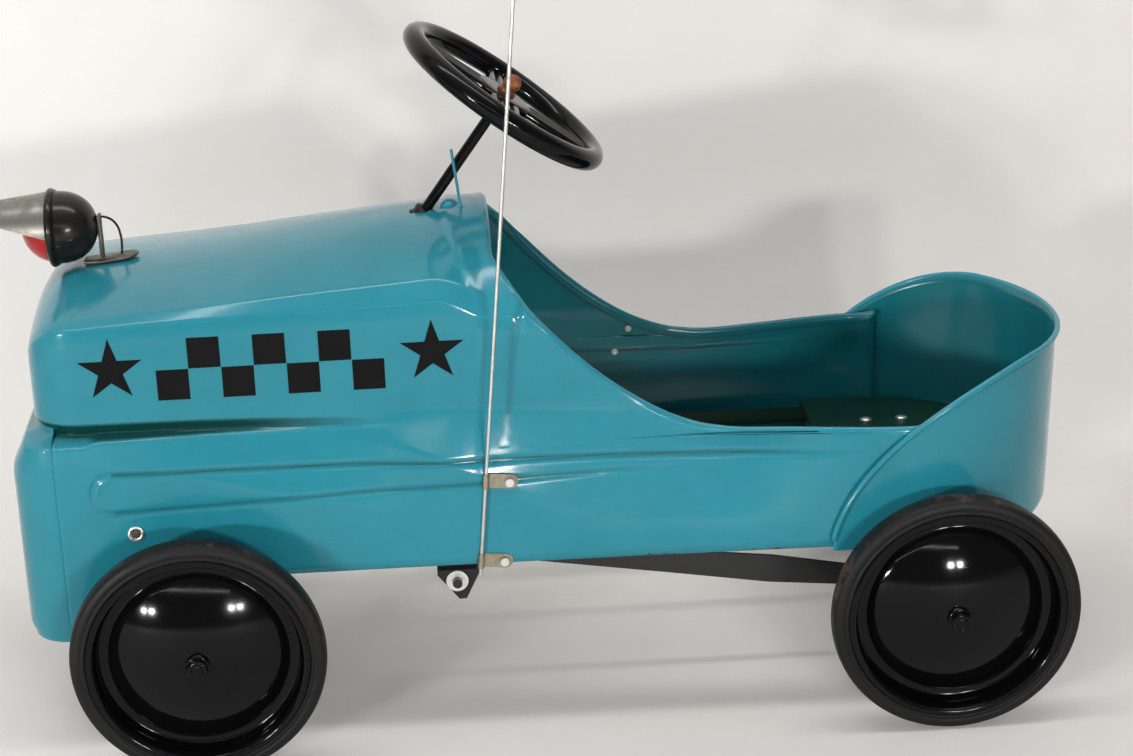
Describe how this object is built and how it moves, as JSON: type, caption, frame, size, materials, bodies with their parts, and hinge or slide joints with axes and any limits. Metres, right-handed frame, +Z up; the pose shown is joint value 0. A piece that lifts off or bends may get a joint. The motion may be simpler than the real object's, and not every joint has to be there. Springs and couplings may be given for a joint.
{
  "type": "pedal car",
  "caption": "Child's pedal car: pressed steel body with open cockpit, disc wheels, tie-rod steering, cranked rear axle worked by hanging pedals, and a lamp.",
  "frame": {"origin": "on the floor, under the middle of the bounding box", "axes": "+X towards the rear of the car, +Y towards its right side, +Z up"},
  "size_m": [0.8934, 0.3998, 0.7801],
  "materials": {
    "teal_paint": "gloss",
    "green_paint": "satin",
    "chrome": "polished",
    "black_paint": "gloss",
    "bare_steel": "satin",
    "bronze_bush": "satin",
    "wire_black": "matt",
    "brown_paint": "gloss",
    "red_glass": "gloss",
    "bulb_glass": "gloss",
    "galvanised": "satin",
    "black_plastic": "gloss",
    "rusty_brown": "satin",
    "tyre_rubber": "matt",
    "pad_rubber": "matt"
  },
  "bodies": {
    "body": {"body_shell": "teal_paint", "cockpit_edge": "teal_paint", "front_panel": "teal_paint", "rear_tub": "teal_paint", "tub_edge": "teal_paint", "seat": "green_paint", "seat_screws": "chrome", "chassis_rail_left": "black_paint", "chassis_rail_right": "black_paint", "front_cross_member": "black_paint", "front_axle_beam": "black_paint", "kingpins": "bare_steel", "rear_bracket_left": "black_paint", "rear_bracket_right": "black_paint", "rear_bushes": "bronze_bush", "column_grommet": "wire_black", "column_bush": "bronze_bush", "pedal_shaft": "bare_steel", "pedal_shaft_brackets": "black_paint", "side_bolts": "chrome", "wall_screws": "chrome", "cowl_pin": "teal_paint", "cowl_cap": "teal_paint", "lamp_base": "bare_steel", "lamp_housing": "brown_paint", "lamp_bezel": "brown_paint", "lamp_lens": "red_glass", "lamp_visor": "chrome", "lamp_bulb": "bulb_glass", "lamp_wire": "wire_black", "antenna": "galvanised", "antenna_clips": "galvanised", "clip_rivets": "chrome"},
    "steering": {"steering_shaft": "black_paint", "steering_wheel_rim": "black_plastic", "steering_wheel_spokes": "black_plastic", "acorn_nut": "rusty_brown"},
    "knuckle_left": {"knuckle_left": "black_paint", "hub_nut_front_left": "black_paint"},
    "knuckle_right": {"knuckle_right": "black_paint", "hub_nut_front_right": "black_paint"},
    "tie_rod": {"tie_rod": "black_paint"},
    "front_wheel_left": {"wheel_front_left": "black_paint", "tyre_front_left": "tyre_rubber"},
    "front_wheel_right": {"wheel_front_right": "black_paint", "tyre_front_right": "tyre_rubber"},
    "rear_axle": {"rear_axle": "black_paint", "wheel_rear_left": "black_paint", "tyre_rear_left": "tyre_rubber", "hub_nuts_rear": "black_paint"},
    "rear_wheel_right": {"wheel_rear_right": "black_paint", "tyre_rear_right": "tyre_rubber"},
    "drive_rod_left": {"drive_rod_left": "black_paint"},
    "drive_rod_right": {"drive_rod_right": "black_paint"},
    "pedal_left": {"pedal_arm_left": "black_paint", "pedal_washer_left": "chrome"},
    "pedal_right": {"pedal_arm_right": "black_paint", "pedal_washer_right": "chrome"},
    "pad_left": {"pedal_pad_left": "pad_rubber"},
    "pad_right": {"pedal_pad_right": "pad_rubber"}
  },
  "joints": [
    {"name": "steering_turn", "type": "hinge", "parent": "body", "child": "steering", "pos_m": [-0.08175, 0, 0.40978], "axis": [0.5948, 0, 0.8039], "range_deg": [-21, 21]},
    {"name": "knuckle_left_turn", "type": "hinge", "parent": "body", "child": "knuckle_left", "pos_m": [-0.28075, -0.118, 0.1015], "axis": [0, 0, 1], "range_deg": [-15, 15]},
    {"name": "knuckle_right_turn", "type": "hinge", "parent": "body", "child": "knuckle_right", "pos_m": [-0.28075, 0.118, 0.1015], "axis": [0, 0, 1], "range_deg": [-15, 15]},
    {"name": "tie_rod_pivot", "type": "hinge", "parent": "knuckle_left", "child": "tie_rod", "pos_m": [-0.23075, -0.118, 0.1215], "axis": [0, 0, 1], "range_deg": [-15, 15]},
    {"name": "front_wheel_left_spin", "type": "hinge", "parent": "knuckle_left", "child": "front_wheel_left", "pos_m": [-0.28075, -0.1755, 0.1015], "axis": [0, 1, 0], "continuous": true},
    {"name": "front_wheel_right_spin", "type": "hinge", "parent": "knuckle_right", "child": "front_wheel_right", "pos_m": [-0.28075, 0.1755, 0.1015], "axis": [0, 1, 0], "continuous": true},
    {"name": "rear_axle_spin", "type": "hinge", "parent": "body", "child": "rear_axle", "pos_m": [0.32725, 0, 0.1015], "axis": [0, 1, 0], "continuous": true},
    {"name": "rear_wheel_right_spin", "type": "hinge", "parent": "rear_axle", "child": "rear_wheel_right", "pos_m": [0.32725, 0.1755, 0.1015], "axis": [0, 1, 0], "continuous": true},
    {"name": "drive_rod_left_turn", "type": "hinge", "parent": "rear_axle", "child": "drive_rod_left", "pos_m": [0.32725, -0.05, 0.0715], "axis": [0, 1, 0], "continuous": true},
    {"name": "drive_rod_right_turn", "type": "hinge", "parent": "rear_axle", "child": "drive_rod_right", "pos_m": [0.32725, 0.05, 0.1315], "axis": [0, 1, 0], "continuous": true},
    {"name": "pedal_left_swing", "type": "hinge", "parent": "body", "child": "pedal_left", "pos_m": [-0.07575, -0.05, 0.326], "axis": [0, 1, 0], "range_deg": [-8.4, 8.4]},
    {"name": "pedal_right_swing", "type": "hinge", "parent": "body", "child": "pedal_right", "pos_m": [-0.07575, 0.05, 0.326], "axis": [0, 1, 0], "range_deg": [-8.4, 8.4]},
    {"name": "pad_left_tilt", "type": "hinge", "parent": "pedal_left", "child": "pad_left", "pos_m": [-0.0725, -0.09, 0.13003], "axis": [0, 1, 0], "range_deg": [-25, 25]},
    {"name": "pad_right_tilt", "type": "hinge", "parent": "pedal_right", "child": "pad_right", "pos_m": [-0.07675, 0.09, 0.13], "axis": [0, 1, 0], "range_deg": [-25, 25]}
  ],
  "couplings": [
    {"joint": "knuckle_left_turn", "follows": "steering_turn", "ratio": 0.7},
    {"joint": "knuckle_right_turn", "follows": "steering_turn", "ratio": 0.7},
    {"joint": "tie_rod_pivot", "follows": "steering_turn", "ratio": -0.7},
    {"joint": "drive_rod_left_turn", "follows": "rear_axle_spin", "ratio": -1},
    {"joint": "drive_rod_right_turn", "follows": "rear_axle_spin", "ratio": -1},
    {"joint": "pedal_right_swing", "follows": "pedal_left_swing", "ratio": -1}
  ]
}
